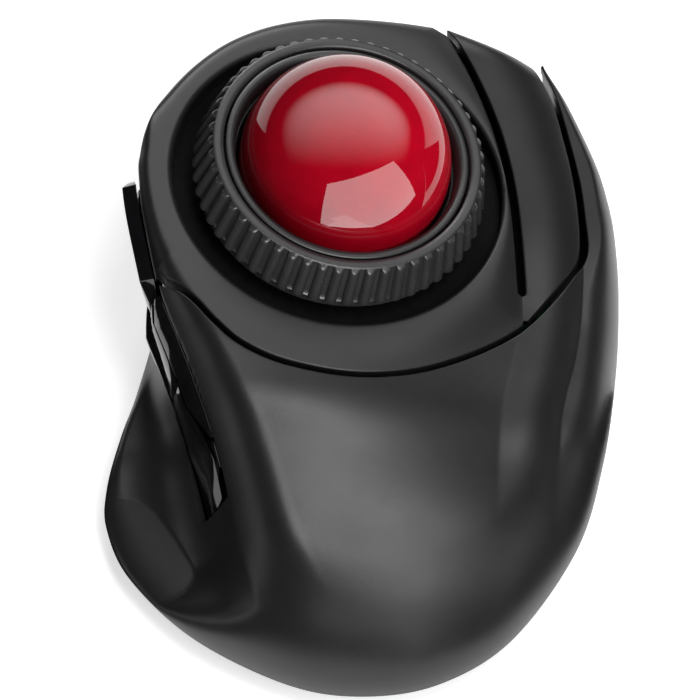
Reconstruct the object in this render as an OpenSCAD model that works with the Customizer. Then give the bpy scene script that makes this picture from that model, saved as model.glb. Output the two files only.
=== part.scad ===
// Finger-operated trackball mouse with a tilted scroll ring, five thumb keys
// and a hinged ring-finger key. +Z up, +Y towards the front, +X to the right, mm.

/* [Ball and ring] */
// ball diameter
ball_d = 40; // [34:0.5:46]
// ring axis lean to the right, degrees
lean_right = 11; // [0:0.5:20]
// ring axis lean to the front, degrees
lean_front = 2; // [-5:0.5:8]
// height of the ring top plane at its centre
ring_z = 43; // [38:0.5:48]
// ball centre below the ring top plane
ball_drop = 3; // [1:0.5:6]
// bore radius of the scroll ring
ring_bore_r = 23.5; // [22:0.1:25]
// outer radius of the ring at its top
ring_top_r = 25.9; // [24.5:0.1:28]
// outer radius of the ring at its foot
ring_foot_r = 27.6; // [26:0.1:29]
// height of the ribbed flank
ring_h = 9; // [6:0.5:12]
// number of grip ribs
rib_count = 54; // [36:1:72]
// rib height
rib_depth = 0.8; // [0.3:0.1:1.4]

/* [Shell] */
// radius of the recess around the ring
moat_r = 31.4; // [29.5:0.1:33]
// shell wall thickness
wall = 2; // [1.4:0.1:3]
// seam between front deck and palm shell
seam = 1; // [0.4:0.1:1.6]
// width of the open slit beside the right key
slit = 1.5; // [0.8:0.1:2.2]
// height of the shell rim above the table
rim_z = 6; // [4:0.5:9]
// height of the deck plane at the recess centre
deck_z = 33.2; // [30:0.1:36]
// steepness of the palm behind its crest
palm_slope = 0.29; // [0.15:0.01:0.4]
// steepness of the deck outside the recess
roll_slope = 0.5; // [0.2:0.05:0.7]
// depth of the front lip
lip_front = 9; // [4:0.5:12]
// depth of the left lip
lip_left = 4; // [2:0.5:6]

/* [Thumb keys] */
// how far the upper key facet stands out
key_out = 2.6; // [1.5:0.1:4]
// drop of the upper key facet
key_fall = 5.6; // [4:0.2:8]

/* [Base] */
// thickness of the bottom plate
floor_t = 2; // [1.5:0.1:3]
// height of the rubber feet
foot_h = 1.5; // [0.8:0.1:2.5]
// height of the main circuit board
board_z = 8; // [6.5:0.5:11]

/* [Battery] */
// battery diameter
cell_d = 14.2; // [10:0.1:15]
// battery length
cell_l = 50.2; // [44:0.1:51]

/* [Hidden] */
ring_c = [-2.5, 30.8, ring_z];
nx = sin(lean_right) * cos(lean_front);
ny = sin(lean_front);
nz = cos(lean_right) * cos(lean_front);
moat_c = ring_c - 10 * [nx, ny, nz];
slope_x = -nx / nz;
slope_y = -ny / nz;

// ---- curve helpers -------------------------------------------------------
function sq(a) = a * a;
function clamp(a, lo, hi) = min(max(a, lo), hi);
function smooth(a) = let (t = clamp(a, 0, 1)) t * t * (3 - 2 * t);
function seg(p, x, i = 0) = (i >= len(p) - 2 || x < p[i + 1][0]) ? i : seg(p, x, i + 1);
function slope_at(p, i) = let (a = max(i - 1, 0), b = min(i + 1, len(p) - 1))
  (p[b][1] - p[a][1]) / (p[b][0] - p[a][0]);
// smooth curve through a few points listed by rising first value
function curve(p, x0) = let (x = clamp(x0, p[0][0], p[len(p) - 1][0]), i = seg(p, x),
  h = p[i + 1][0] - p[i][0], t = (x - p[i][0]) / h, t2 = t * t, t3 = t2 * t)
  (2 * t3 - 3 * t2 + 1) * p[i][1] + (t3 - 2 * t2 + t) * h * slope_at(p, i)
  + (3 * t2 - 2 * t3) * p[i + 1][1] + (t3 - t2) * h * slope_at(p, i + 1);
// smooth path through points, t runs from 0 to len - 1
function path(p, t) = let (n = len(p), i = min(floor(t), n - 2), u = t - i,
  a = p[max(i - 1, 0)], b = p[i], c = p[i + 1], d = p[min(i + 2, n - 1)])
  0.5 * (2 * b + u * (c - a) + u * u * (2 * a - 5 * b + 4 * c - d)
  + u * u * u * (3 * b - a - 3 * c + d));

// ---- plan curves of the skin (y, x) --------------------------------------
slit1 = [[-35, 25], [-23, 25.5], [-12, 26.7], [-3.5, 28.5], [5, 30.3], [10.3, 30.2], [20, 29.7],
  [30, 28.9], [38, 27.7], [47, 25.6], [57.5, 21.9], [66, 17.9], [70.5, 14.9]];
slit2 = [[-30, 36], [-16, 37], [-10, 38], [-1, 40.2], [8, 41.5], [20, 42.1], [28, 41.9],
  [38, 41], [46, 39.5], [54, 37.5], [63, 34.2]];
left_edge = [[-52, -19], [-42, -22.5], [-31, -24.8], [-22, -27.2], [-11, -31], [-3, -34.2],
  [4, -37], [12, -39], [22, -41], [30, -41.9], [34, -41.7]];
roll_w = [[-55, 14], [-37, 11], [-20, 9.5], [-9, 8.5], [1, 6.5], [9, 4], [16, 2.6], [34, 2.4]];
outer_left = [[-52, -31.2], [-46, -38], [-40, -43.2], [-35, -46], [-29.5, -47.8], [-21.5, -48],
  [-16, -47], [-11, -45.7], [-3, -43.2], [3, -41.8], [8.5, -40.8], [30, -43.5]];
wall_pow = [[-58, 2.4], [-46, 2.8], [-38, 3.4], [-12, 3.8], [0, 3], [30, 3]];

// ---- height of the skin --------------------------------------------------
function plane(x, y) = deck_z + slope_x * (x - moat_c[0]) + slope_y * (y - moat_c[1]);
function fade_r(y) = smooth((y + 40) / 26);
function fade_l(y) = smooth((y + 58) / 20);
// fall of the palm behind its crest
function rear(y) = let (d = max(-14 - y, 0))
  palm_slope * (d - 8 * (1 - exp(-d / 8))) - 0.5 * exp(-sq((y + 18) / 6));
// fall of the deck outside the recess rim, strongest towards the right
function roll(x, y) = let (dx = x - moat_c[0], r = max(norm([dx, y - moat_c[1]]), 1),
  d = max(r - moat_r - 0.6, 0))
  roll_slope * smooth((dx / r + 0.2) / 0.95) * (1 - 0.6 * smooth((y - 35) / 20))
  * (10 * (1 - exp(-d / 10)) - 1.5 * (1 - exp(-d / 1.5)));
// sideways crown of the palm, fading out at the seam
function crown(x, y) = let (u = x - 10)
  0.0055 * u * u / (1 + max(-u, 0) / 30) * smooth((-4 - y) / 22);
// height right of the first crease, before the palm's own fall
function right_z(x, y) = let (a = curve(slit1, y), b = curve(slit2, y),
  v = min((x - a) / (b - a), 1))
  plane(a, y) - 4.2 * (0.15 * v + 0.85 * v * v * v) - 0.08 * max(x - b, 0);
function body_z(x, y) = let (a = curve(slit1, y), f = fade_r(y))
  x <= a ? plane(x, y) - f * roll(x, y) - crown(x, y)
  : f * right_z(x, y) + (1 - f) * (plane(x, y) - 0.008 * sq(x - a) - crown(x, y) + crown(a, y))
    - f * roll(a, y) - crown(a, y);
function left_z(x, y) = let (e = curve(left_edge, y), w = curve(roll_w, y), k = e + w,
  zk = body_z(k, y), v = (k - x) / w, ze = zk - 0.62 * w,
  o = curve(outer_left, y), wr = max(e - o, 0.5), r = clamp((e - x) / wr, 0, 1))
  v <= 1 ? zk - 0.62 * w * pow(v, 2.2) + slope_x * (x - k) * (1 - v)
  : ze - (ze - 9.5) * (1 - pow(1 - r, curve(wall_pow, y)));
function skin_z(x, y) = let (e = curve(left_edge, y), w = curve(roll_w, y), k = e + w,
  f = fade_l(y))
  (x >= k ? body_z(x, y)
  : f * left_z(x, y) + (1 - f) * (body_z(x, y) - 0.012 * sq(k - x))) - rear(y);

// ---- grids ---------------------------------------------------------------
function unit(v) = v / max(norm(v), 1e-9);
function gnorm(g, k, i, wrap) = let (n = len(g), m = len(g[0]),
  a = wrap ? (k + n - 1) % n : max(k - 1, 0), b = wrap ? (k + 1) % n : min(k + 1, n - 1),
  c = max(i - 1, 0), d = min(i + 1, m - 1))
  unit(cross(g[b][i] - g[a][i], g[k][d] - g[k][c]));
function shifted(g, t, wrap) = [for (k = [0:len(g) - 1]) [for (i = [0:len(g[0]) - 1])
  g[k][i] + t * gnorm(g, k, i, wrap)]];
// the solid between two matching sheets of points
module skin(g, inner, wrap = false) {
  n = len(g); m = len(g[0]); kk = wrap ? n : n - 1;
  pts = concat([for (r = g) each r], [for (r = inner) each r]);
  o = n * m;
  function id(k, i) = (k % n) * m + i;
  outer_f = [for (k = [0:kk - 1]) for (i = [0:m - 2]) each
    [[id(k, i), id(k, i + 1), id(k + 1, i + 1)], [id(k, i), id(k + 1, i + 1), id(k + 1, i)]]];
  inner_f = [for (f = outer_f) [f[0] + o, f[2] + o, f[1] + o]];
  e0 = [for (k = [0:kk - 1]) each [[id(k, 0), id(k + 1, 0), id(k, 0) + o],
    [id(k + 1, 0), id(k + 1, 0) + o, id(k, 0) + o]]];
  e1 = [for (k = [0:kk - 1]) each [[id(k, m - 1), id(k, m - 1) + o, id(k + 1, m - 1)],
    [id(k + 1, m - 1), id(k, m - 1) + o, id(k + 1, m - 1) + o]]];
  s0 = wrap ? [] : [for (i = [0:m - 2]) each [[id(0, i), id(0, i) + o, id(0, i + 1)],
    [id(0, i + 1), id(0, i) + o, id(0, i + 1) + o]]];
  s1 = wrap ? [] : [for (i = [0:m - 2]) each [[id(n - 1, i), id(n - 1, i + 1), id(n - 1, i) + o],
    [id(n - 1, i + 1), id(n - 1, i + 1) + o, id(n - 1, i) + o]]];
  f = concat(outer_f, inner_f, e0, e1, s0, s1);
  polyhedron(pts, [for (q = f) [q[0], q[2], q[1]]]);
}
// a closed outline swept through stations, capped at both ends
module loft(st) {
  n = len(st); m = len(st[0]);
  pts = [for (r = st) each r];
  side = [for (k = [0:n - 2]) for (i = [0:m - 1]) let (a = k * m + i, b = k * m + (i + 1) % m)
    each [[a, b + m, b], [a, a + m, b + m]]];
  cap0 = [for (i = [1:m - 2]) [0, i, i + 1]];
  cap1 = [for (i = [1:m - 2]) [(n - 1) * m, (n - 1) * m + i + 1, (n - 1) * m + i]];
  polyhedron(pts, concat(side, cap0, cap1));
}
// puts the origin under the middle of the whole mouse
module placed() { translate([-0.6, -2.8, 0]) children(); }
module on_ring(w = 0) {
  translate(ring_c) rotate([-lean_front, lean_right, 0]) translate([0, 0, w]) children();
}

// palm shell: seam side and rim side of the sheet, matched point by point
palm_in = [[-36.8, 5.2], [-33.6, 3.2], [-30.6, 0.4], [-27.4, -3.2], [-23, -7], [-16.5, -10],
  [-9, -11.5], [-2, -11.8], [5, -10.8], [12, -8.6], [20, -4.6], [27, 0], [32, 4.4],
  [36.5, 9.7], [40, 15.1], [42.9, 21], [42.6, 29], [41.5, 38.5], [38, 54.5], [34.9, 62.8]];
palm_out = [[-40.4, 8.5], [-43.2, -2.8], [-45.7, -11], [-48, -21.5], [-47.8, -29.5], [-43.2, -40],
  [-31.2, -52.2], [-14, -61.5], [0, -64], [14.4, -61.5], [28, -52.4], [40.3, -34],
  [45.8, -15.5], [48.6, 3], [49.5, 18], [49.2, 28], [48.3, 35.5], [46, 44], [41.2, 55.5],
  [36, 63.5]];
roll_r = [[0, 3], [3, 4], [5, 8], [6, 14], [7, 19], [10, 19], [11, 16], [12, 11], [13, 8],
  [14, 6.6], [16, 5.6], [17, 4.2], [18, 2.8], [19, 1]];
// steepness of the skin, held below 2.5
function steep(x, y) = min(2.5, norm([skin_z(x + 0.5, y) - skin_z(x - 0.5, y),
  skin_z(x, y + 0.5) - skin_z(x, y - 0.5)]));
// point of the palm sheet; d is the depth below the outer skin
function palm_pt(t, s, d) = let (a = path(palm_in, t), b0 = path(palm_out, t),
  l0 = norm(b0 - a), dd = min(d, 0.35 * l0), b = b0 + (a - b0) * dd / l0, l = l0 - dd,
  q = pow(1 - s, 1.8), p = b + (a - b) * q, e = l * q, r = curve(roll_r, t),
  u = 1 - min(e / r, 1), g = pow(max(1 - pow(u, 2.3), 0), 1 / 2.3),
  z = skin_z(p[0], p[1]) - (d > 0 ? d * sqrt(1 + sq(steep(p[0], p[1]))) : 0))
  [p[0], p[1], rim_z + max(z - rim_z, d > 0 ? 0.4 : 2.4) * g];
palm_n = 76;
palm_m = 20;
function palm_sheet(d) = [for (k = [0:palm_n]) [for (i = [0:palm_m])
  palm_pt(19 * k / palm_n, i / palm_m, d)]];

// front deck: outline of the collar around the recess, walked anticlockwise
function slit_half(y) = y > 11 ? slit / 2 : y < 9.6 ? 0.2
  : 0.2 + (slit / 2 - 0.2) * sqrt(clamp(1 - sq((11 - y) / 1.4), 0, 1));
front_edge = [[14, 69.5], [8, 69.6], [0, 69.2], [-8, 68.2], [-15, 66.2], [-21, 63.4],
  [-26.5, 59.6], [-31.5, 54.6], [-35.7, 49], [-39, 43], [-41, 37], [-41.8, 32]];
deck_out = concat(
  [for (t = [0:0.25:11]) let (p = path(palm_in, t), q = path(palm_in, t + 0.05),
    d = unit([p[1] - q[1], q[0] - p[0]])) p + seam * d],
  [for (y = [4.4, 7, 9.4, 10.2, 11, 14, 18, 23, 28, 33, 38, 43, 48, 53, 58, 63, 67.5])
    [curve(slit1, y) - slit_half(y), y]],
  [for (t = [0:0.5:11]) path(front_edge, t)],
  [for (y = [28, 24, 20, 16, 12, 8.6]) [curve(left_edge, y), y]]);
function edge_kind(p) = p[1] < 6 ? 0 : p[0] > 14.4 ? 0 : 1;
function lip_depth(p) = edge_kind(p) == 0 ? wall + 0.6 : lip_left
  + (lip_front - lip_left) * smooth((p[0] + 36) / 26);
function rim_pt(p) = let (a = atan2(p[1] - moat_c[1], p[0] - moat_c[0]),
  x = moat_c[0] + moat_r * cos(a), y = moat_c[1] + moat_r * sin(a)) [x, y];
function deck_pt(p, s, d) = let (a = rim_pt(p), l = norm(p - a),
  q = a + (p - a) * s * (1 - min(d, 0.4 * l) / l), z0 = plane(q[0], q[1]),
  z1 = skin_z(q[0], q[1]), f = edge_kind(p))
  [q[0], q[1], z0 + (z1 - z0) * smooth(s) - (f == 1 && p[0] > -41 ? 1.5 * pow(s, 6) : 0)
    - (d > 0 ? d * sqrt(1 + sq(min(steep(q[0], q[1]), 1))) : 0)];
// one row per outline point, from the recess rim to the foot of the lip
function deck_rows(d) = [for (p = deck_out) let (e = deck_pt(p, 1, d), f = deck_pt(p, 1, 0))
  concat([for (s = [0, 0.15, 0.35, 0.55, 0.72, 0.86, 0.95, 1]) deck_pt(p, s, d)],
    [[e[0], e[1], f[2] - lip_depth(p)]])];

// right key sheet between the two slits
key_left = [4.8, 7, 10.8, 16.5, 26.5, 36.5, 47.5, 58.5, 69];
key_right = [[31.2, 4.9], [34.2, 8.6], [37.7, 13.5], [41.2, 19.9], [41.4, 29], [40.4, 38],
  [38.9, 46], [36.8, 55], [33.5, 62.4]];
function key_pt(t, s) = let (y = path([for (v = key_left) [v, 0]], t)[0],
  a = [curve(slit1, y) + slit_half(y) + 0.5 * max(t - 7.4, 0), y], b = path(key_right, t),
  p = a + (b - a) * s)
  [p[0], p[1], skin_z(p[0], p[1]) - 1.2 * pow(max(t - 7.4, 0) / 0.6, 2)];
key_grid = concat([for (t = [0:0.4:8]) [for (i = [0:9]) key_pt(t, i / 9)]],
  [for (d = [3.5, 7]) [for (i = [0:9]) key_pt(8, i / 9) + [0.8 - 0.8 * i / 9, 0, -d]]]);

module palm_shell() color([0.16, 0.16, 0.17]) placed() {
  difference() {
    union() {
      skin(palm_sheet(0), palm_sheet(wall));
      for (p = palm_posts) post(p, post_top(p));
    }
    cluster_room(10, -32.5);
  }
}
module cluster_room(y1, y0) {
  steps = 11;
  loft([for (i = [0:steps]) key_section(y1 + (y0 - y1) * i / steps, [[-2.3, 1.3], [0.2, 0.2],
    [3, -1], [9, -1], [9, kf + 5], [ko + 1.6, kf + 7.8], [ko + 1.4, kf + 9.8],
    [-2.3, kf + 9.8]])]);
}
module front_deck() color([0.17, 0.17, 0.18]) placed() {
  skin(deck_rows(0), deck_rows(wall), true);
  on_ring() difference() {
    rotate_extrude($fn = 96) polygon([[24.2, -15.5], [34, -15.5], [34, -11.2],
      [moat_r + 0.7, -11.2], [moat_r + 0.7, -13.5], [24.2, -13.5]]);
    for (a = [30, 150, 270]) rotate([0, 0, a]) translate([25.6, 0, -16])
      cylinder(r = 1.1, h = 5, $fn = 24);
  }
  on_ring() for (a = [50, 70, 90, 110, 212, 236, 262, 286]) rotate([0, 0, a]) hull() {
    translate([33.6, -0.6, -15]) cube([0.6, 1.2, 3]);
    translate([33.6, -0.6, -11.9]) cube([2.4, 1.2, 0.4]);
  }
  for (p = deck_posts) post(p, ring_level(p[0], p[1], -14.4));
}

// ---- thumb cluster -------------------------------------------------------
// outline given as (stand-out from the edge, drop below the edge)
function key_section(y, pts) = let (e = curve(left_edge, y), z = skin_z(e, y))
  [for (q = pts) [e - q[0], y, z - q[1]]];
function mix(a, b, f) = [for (i = [0:len(a) - 1]) a[i] + (b[i] - a[i]) * f];
// stations between named outlines, every 4 mm
module key_body(st) {
  n = len(st);
  loft([for (i = [0:n - 2]) let (y0 = st[i][0], y1 = st[i + 1][0],
    c = max(1, ceil((y0 - y1) / 4)), last = i == n - 2 ? c : c - 1)
    for (j = [0:last]) key_section(y0 + (y1 - y0) * j / c, mix(st[i][1], st[i + 1][1], j / c))]);
}
ko = key_out;
kf = key_fall;
panel_sec = [[-2.1, 2.4], [-1.7, 3.4], [ko - 2.4, kf + 2.6], [ko - 1.8, kf + 8],
  [ko + 0.4, kf + 8.4], [ko + 0.4, kf + 9.4], [-2.1, kf + 9.4]];
upper_sec = [[0.15, 0.8], [ko, kf], [ko - 1, kf + 0.9], [-0.9, 2]];
lower_sec = [[ko + 0.15, kf + 0.5], [ko + 1.2, kf + 7.2], [ko - 0.2, kf + 7.4], [ko - 1, kf + 1.7]];
front_sec = [[0.6, 1], [3.3, 2.2], [2.3, 11], [1.7, 11], [1.7, 4.2], [0.6, 2.6]];

module thumb_panel() color([0.04, 0.04, 0.045]) placed() {
  key_body([[29.4, [[-2.2, 6.6], [0.2, 6.8], [0.6, 8], [1.3, 12.6], [1.8, 13], [1.8, 15], [-2.2, 15]]],
    [11, [[-1.3, 6.6], [0.2, 6.8], [0.6, 8], [1.3, 12.8], [1.8, 13.2], [1.8, 15.2], [-1.3, 15.2]]],
    [9, [[-1.2, 6.2], [-0.6, 6.8], [0.3, 8], [1, 12.8], [2, 13.4], [2, 15], [-1.2, 15]]],
    [3, panel_sec], [-26.4, panel_sec],
    [-31.5, [[-2, 2.2], [-1.2, 3], [-0.3, 8], [0.8, 14.2], [2.6, 14.5], [2.6, 15.2], [-2, 15.2]]]]);
}
module thumb_key_front() color([0.03, 0.03, 0.035]) placed() {
  key_body([[29, [[0.8, 3], [2.2, 3.8], [1.9, 9], [1.5, 9], [1.4, 5.2], [0.8, 4.2]]],
    [27, front_sec], [7.6, front_sec],
    [5.5, [[0.6, 3.6], [2.2, 5.8], [2, 10.6], [1.5, 10.6], [1.5, 7], [0.6, 4.8]]]]);
}
module thumb_key_upper() color([0.03, 0.03, 0.035]) placed() {
  key_body([[4.7, [[0.3, 1.2], [1.4, 3], [0.8, 3.8], [-0.8, 2.4]]], [1.4, upper_sec],
    [-14, upper_sec], [-17.6, [[0.15, 0.6], [ko - 0.8, kf - 1.6], [ko - 1.7, kf - 0.7], [-1, 2]]],
    [-21.6, [[0.15, 0.6], [0.6, 1.4], [0, 2.1], [-0.9, 1.8]]]]);
}
module thumb_key_lower_front() color([0.05, 0.05, 0.055]) placed() {
  key_body([[4.6, [[1.9, 4.2], [2.6, kf + 6.4], [1.8, kf + 6.6], [1.1, 5]]],
    [2, [[ko + 0.1, kf + 0.4], [ko + 0.3, kf + 7], [ko - 0.8, kf + 7.2], [ko - 1, kf + 1.6]]],
    [-9.2, lower_sec]]);
}
module thumb_key_lower_rear() color([0.03, 0.03, 0.035]) placed() {
  key_body([[-9.9, lower_sec], [-13.7, lower_sec],
    [-16.9, [[ko - 0.4, kf - 0.9], [ko + 1.5, kf + 7.2], [ko, kf + 7.4], [ko - 1.7, kf]]],
    [-20.4, [[1.7, 3.5], [ko + 1.6, kf + 6.8], [ko + 0.2, kf + 7.2], [0.4, 4.6]]],
    [-24.6, [[1.1, 2.4], [ko + 1.2, kf + 5.8], [ko, kf + 6.4], [0, 3.4]]],
    [-25.2, [[1, 2.4], [ko + 1.1, kf + 5.8], [ko - 0.1, kf + 6.4], [0, 3.4]]],
    [-30.8, [[0.9, 5.4], [ko + 0.6, kf + 6.4], [ko - 0.4, kf + 6.9], [0.4, 6.6]]],
    [-31.6, [[1.3, 7], [ko, kf + 7], [ko - 0.8, kf + 7.3], [0.8, 8]]]]);
}
module thumb_key_small() color([0.07, 0.07, 0.075]) placed() {
  key_body([[-22.2, [[0.15, 0.8], [0.9, 2], [0.2, 2.8], [-0.8, 2]]],
    [-26.8, [[0.1, 0.9], [0.5, 1.4], [0.1, 2], [-0.5, 1.8]]]]);
}

// ---- ball, ring and cup --------------------------------------------------
module trackball() color([0.75, 0.03, 0.1]) placed()
  on_ring(-ball_drop) sphere(d = ball_d, $fn = 96);
module rib(a) {
  r0 = ring_foot_r - 0.15; r1 = ring_top_r - 0.25; h = ring_h - 0.5;
  rotate([0, 0, a]) hull() {
    translate([r0, 0, -ring_h - 0.3]) sphere(r = rib_depth * 1.15, $fn = 8);
    translate([r1, 0, -1.1]) sphere(r = rib_depth * 0.95, $fn = 8);
  }
}
module scroll_ring() color([0.1, 0.1, 0.11]) placed() on_ring() {
  rotate_extrude($fn = 144) polygon([[ring_bore_r, 0], [ring_top_r - 0.9, 0],
    [ring_top_r - 0.4, -0.15], [ring_top_r - 0.1, -0.6], [ring_foot_r, -ring_h],
    [ring_foot_r, -ring_h - 1.2], [ring_bore_r + 0.6, -ring_h - 1.2], [ring_bore_r, -ring_h]]);
  for (i = [0:rib_count - 1]) rib(i * 360 / rib_count);
}
module ring_code_band() color([0.35, 0.35, 0.38]) placed() on_ring()
  rotate_extrude($fn = 96) translate([24.6, -ring_h - 2.4]) square([2.2, 1.2]);
module ring_bezel() color([0.09, 0.09, 0.1]) placed() on_ring() rotate_extrude($fn = 96)
  polygon([[21.7, -0.6], [22.2, -0.25], [22.9, -0.25], [23.15, -0.5], [23.15, -4],
    [20.9, -4], [20.9, -2.4]]);
module ball_cup() color([0.12, 0.12, 0.13]) placed() difference() {
  on_ring() union() {
    rotate_extrude($fn = 96) polygon([[20.7, -4.1], [23.1, -4.1], [23.1, -16.2],
      [19.4, -18.4], [12, -25.6], [0, -25.6], [0, -23.4], [10, -21]]);
    for (a = [30, 150, 270]) rotate([0, 0, a]) translate([19, -3, -18]) cube([9.4, 6, 2.2]);
  }
  on_ring(-ball_drop) sphere(r = ball_d / 2 + 0.6, $fn = 96);
  on_ring() {
    translate([0, 0, -27]) cylinder(r = 4, h = 6, $fn = 32);
    for (a = [30, 150, 270]) rotate([0, 0, a]) translate([25.6, 0, -19])
      cylinder(r = 1.1, h = 5, $fn = 24);
  }
  at_bearings() sphere(r = 1.3, $fn = 32);
}
module at_bearings() on_ring(-ball_drop) for (a = [90, 210, 330]) rotate([0, 0, a])
  rotate([0, 128, 0]) translate([0, 0, ball_d / 2 + 1.27]) children();
module bearing_balls() color([0.9, 0.9, 0.92]) placed() at_bearings() sphere(r = 1.25, $fn = 32);
module cup_screws() color([0.7, 0.7, 0.72]) placed() on_ring() for (a = [30, 150, 270])
  rotate([0, 0, a]) translate([25.6, 0, 0]) {
    translate([0, 0, -19.6]) cylinder(r = 2, h = 1.6, $fn = 32);
    translate([0, 0, -18.1]) cylinder(r = 1.05, h = 4, $fn = 24);
  }
module ring_pickup() color([0.1, 0.25, 0.15]) placed() on_ring() rotate([0, 0, 90])
  translate([24.4, -3, -17.6]) cube([4, 6, 2]);

// ---- right key -----------------------------------------------------------
module right_click_key() color([0.17, 0.17, 0.18]) placed() {
  skin(key_grid, shifted(key_grid, wall, false));
  translate([31, 44, 17.4]) cylinder(r = 1.8, h = skin_z(31, 44) - 1.2 - 17.4, $fn = 32);
}

// ---- base ----------------------------------------------------------------
function inset(p, c, d) = p - d * unit(p - c);
function grow(ps, c, d) = [for (p = ps) inset(p, c, d)];
rear_out = [for (t = [0:0.5:19]) inset(path(palm_out, t), [0, 0], 0.7)];
nose_out = [for (t = [0:0.5:11]) inset(path(front_edge, t), [0, 25], 3)];
side_out = [[-38.6, 27], [-37.3, 17], [-36.2, 10.2]];
front_run = concat([[36.2, 59.4], [31.4, 59.4], [23, 64]], nose_out, side_out);
base_out = concat(rear_out, [[31.4, 59.6], [23, 64.2]], nose_out, side_out);
// height of the level that lies w along the ring axis
function ring_level(x, y, w) = ring_z + (w - nx * (x - ring_c[0]) - ny * (y - ring_c[1])) / nz;
// screw places under the deck and under the palm
deck_posts = [[-31.5, 38], [12.5, 56], [-12, 3.5]];
palm_posts = [[42, 12], [33, -22], [24, -45], [-19, -47], [-19.8, -24.4]];
posts = concat(deck_posts, palm_posts);
board_posts = [[-24, 12], [30, 8], [30, 34], [-18, 44]];
post_r = 3;
function post_top(p) = min([for (a = [0:45:315])
  skin_z(p[0] + post_r * cos(a), p[1] + post_r * sin(a))]) - 0.8;
module post(p, top) translate([p[0], p[1], 12]) difference() {
  cylinder(r = post_r, h = top - 12, $fn = 32);
  translate([0, 0, -1]) cylinder(r = 1.25, h = 6.5, $fn = 24);
}
module base_plate() color([0.13, 0.13, 0.14]) placed() {
  difference() {
    union() {
      difference() {
        translate([0, 0, foot_h]) linear_extrude(height = rim_z - foot_h, scale = 1.05)
          polygon(base_out / 1.05);
        translate([0, 0, foot_h + floor_t]) linear_extrude(height = 10)
          polygon(grow(base_out, [0, 5], 4.4));
        translate([0, 0, foot_h + floor_t + 2]) linear_extrude(height = 10)
          polygon(grow(base_out, [0, 5], 2.6));
      }
      difference() {
        translate([0, 0, rim_z - 1]) linear_extrude(height = 40)
          polygon(concat(front_run, [for (i = [len(front_run) - 1:-1:0])
            inset(front_run[i], [0, 25], 2)]));
        on_ring(-16) translate([-80, -80, 0]) cube([160, 160, 60]);
        on_ring(-17) cylinder(r = 34.5, h = 20, $fn = 96);
        translate([13.6, 20, 14.6]) cube([40, 60, 40]);
      }
      translate([0, 0, rim_z - 2]) linear_extrude(height = 15.5)
        polygon([[-36.4, 9.1], [-40, 9.4], [-39.6, 11.2], [-36.4, 12.2]]);
      for (p = posts) translate([p[0], p[1], foot_h + 1]) cylinder(r = 3.2, h = 9.3, $fn = 32);
      for (p = board_posts) translate([p[0], p[1], foot_h + 1])
        cylinder(r = 2.4, h = board_z - foot_h - 1, $fn = 32);
      translate([-1, 0, foot_h + 1]) cube([16, 1.6, 14]);
      translate([0, -56, foot_h + 1]) cube([14, 1.6, 11]);
    }
    for (p = posts) translate([p[0], p[1], -1]) {
      cylinder(r = 1.3, h = 30, $fn = 24);
      cylinder(r = 2.7, h = 4.6, $fn = 32);
    }
    for (p = board_posts) translate([p[0], p[1], foot_h + 2]) cylinder(r = 1, h = 9, $fn = 24);
    translate([-15.5, -53.5, 0]) cube([33, 54, foot_h + floor_t + 0.1]);
    translate([9, 16, 0]) cube([12, 4.4, 10]);
    translate([4, 18.2, 0]) cylinder(r = 1.2, h = 10, $fn = 24);
  }
}
module battery_door() color([0.11, 0.11, 0.12]) placed() difference() {
  translate([-15.3, -53.3, foot_h]) cube([32.6, 53.6, floor_t]);
  translate([1, -56, foot_h - 2.2]) scale([1, 1, 0.5]) sphere(r = 6, $fn = 48);
}
module battery() color([0.75, 0.6, 0.25]) placed() translate([7, -1.8, 12]) rotate([90, 0, 0]) {
  translate([0, 0, 1.2]) cylinder(d = cell_d, h = cell_l - 1.2, $fn = 64);
  cylinder(d = 5.4, h = 1.3, $fn = 32);
}
module battery_contacts() color([0.8, 0.8, 0.82]) placed() {
  translate([2, -0.5, 5]) cube([10, 0.5, 12]);
  translate([5.5, -1.75, 10.5]) cube([3, 1.4, 3]);
  translate([2, -54.4, 5]) cube([10, 0.5, 11]);
  translate([7, -54, 12]) rotate([-90, 0, 0]) cylinder(r1 = 4, r2 = 2.6, h = 1.95, $fn = 32);
}
module usb_receiver() color([0.3, 0.3, 0.32]) placed() {
  translate([-14.4, -40, 4]) cube([12, 8, 4.5]);
  translate([-15, -32.1, 3.8]) cube([13.2, 7, 5]);
}
module rubber_feet() color([0.05, 0.05, 0.05]) placed()
  for (p = [[-37, -28], [31.5, -33], [-27, 45], [23, 52], [-23, -40], [0, -57]])
    translate([p[0], p[1], 0]) cylinder(r = 3.2, h = foot_h, $fn = 48);
module case_screws() color([0.7, 0.7, 0.72]) placed() for (p = posts) translate([p[0], p[1], 0]) {
  translate([0, 0, 2]) cylinder(r = 2.3, h = 1.6, $fn = 32);
  translate([0, 0, 3.5]) cylinder(r = 1.2, h = 11.6, $fn = 24);
}
module board_screws() color([0.7, 0.7, 0.72]) placed() for (p = board_posts)
  translate([p[0], p[1], 0]) {
    translate([0, 0, board_z + 1.6]) cylinder(r = 2, h = 1.2, $fn = 32);
    translate([0, 0, board_z - 4]) cylinder(r = 0.95, h = 5.7, $fn = 24);
  }

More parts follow.
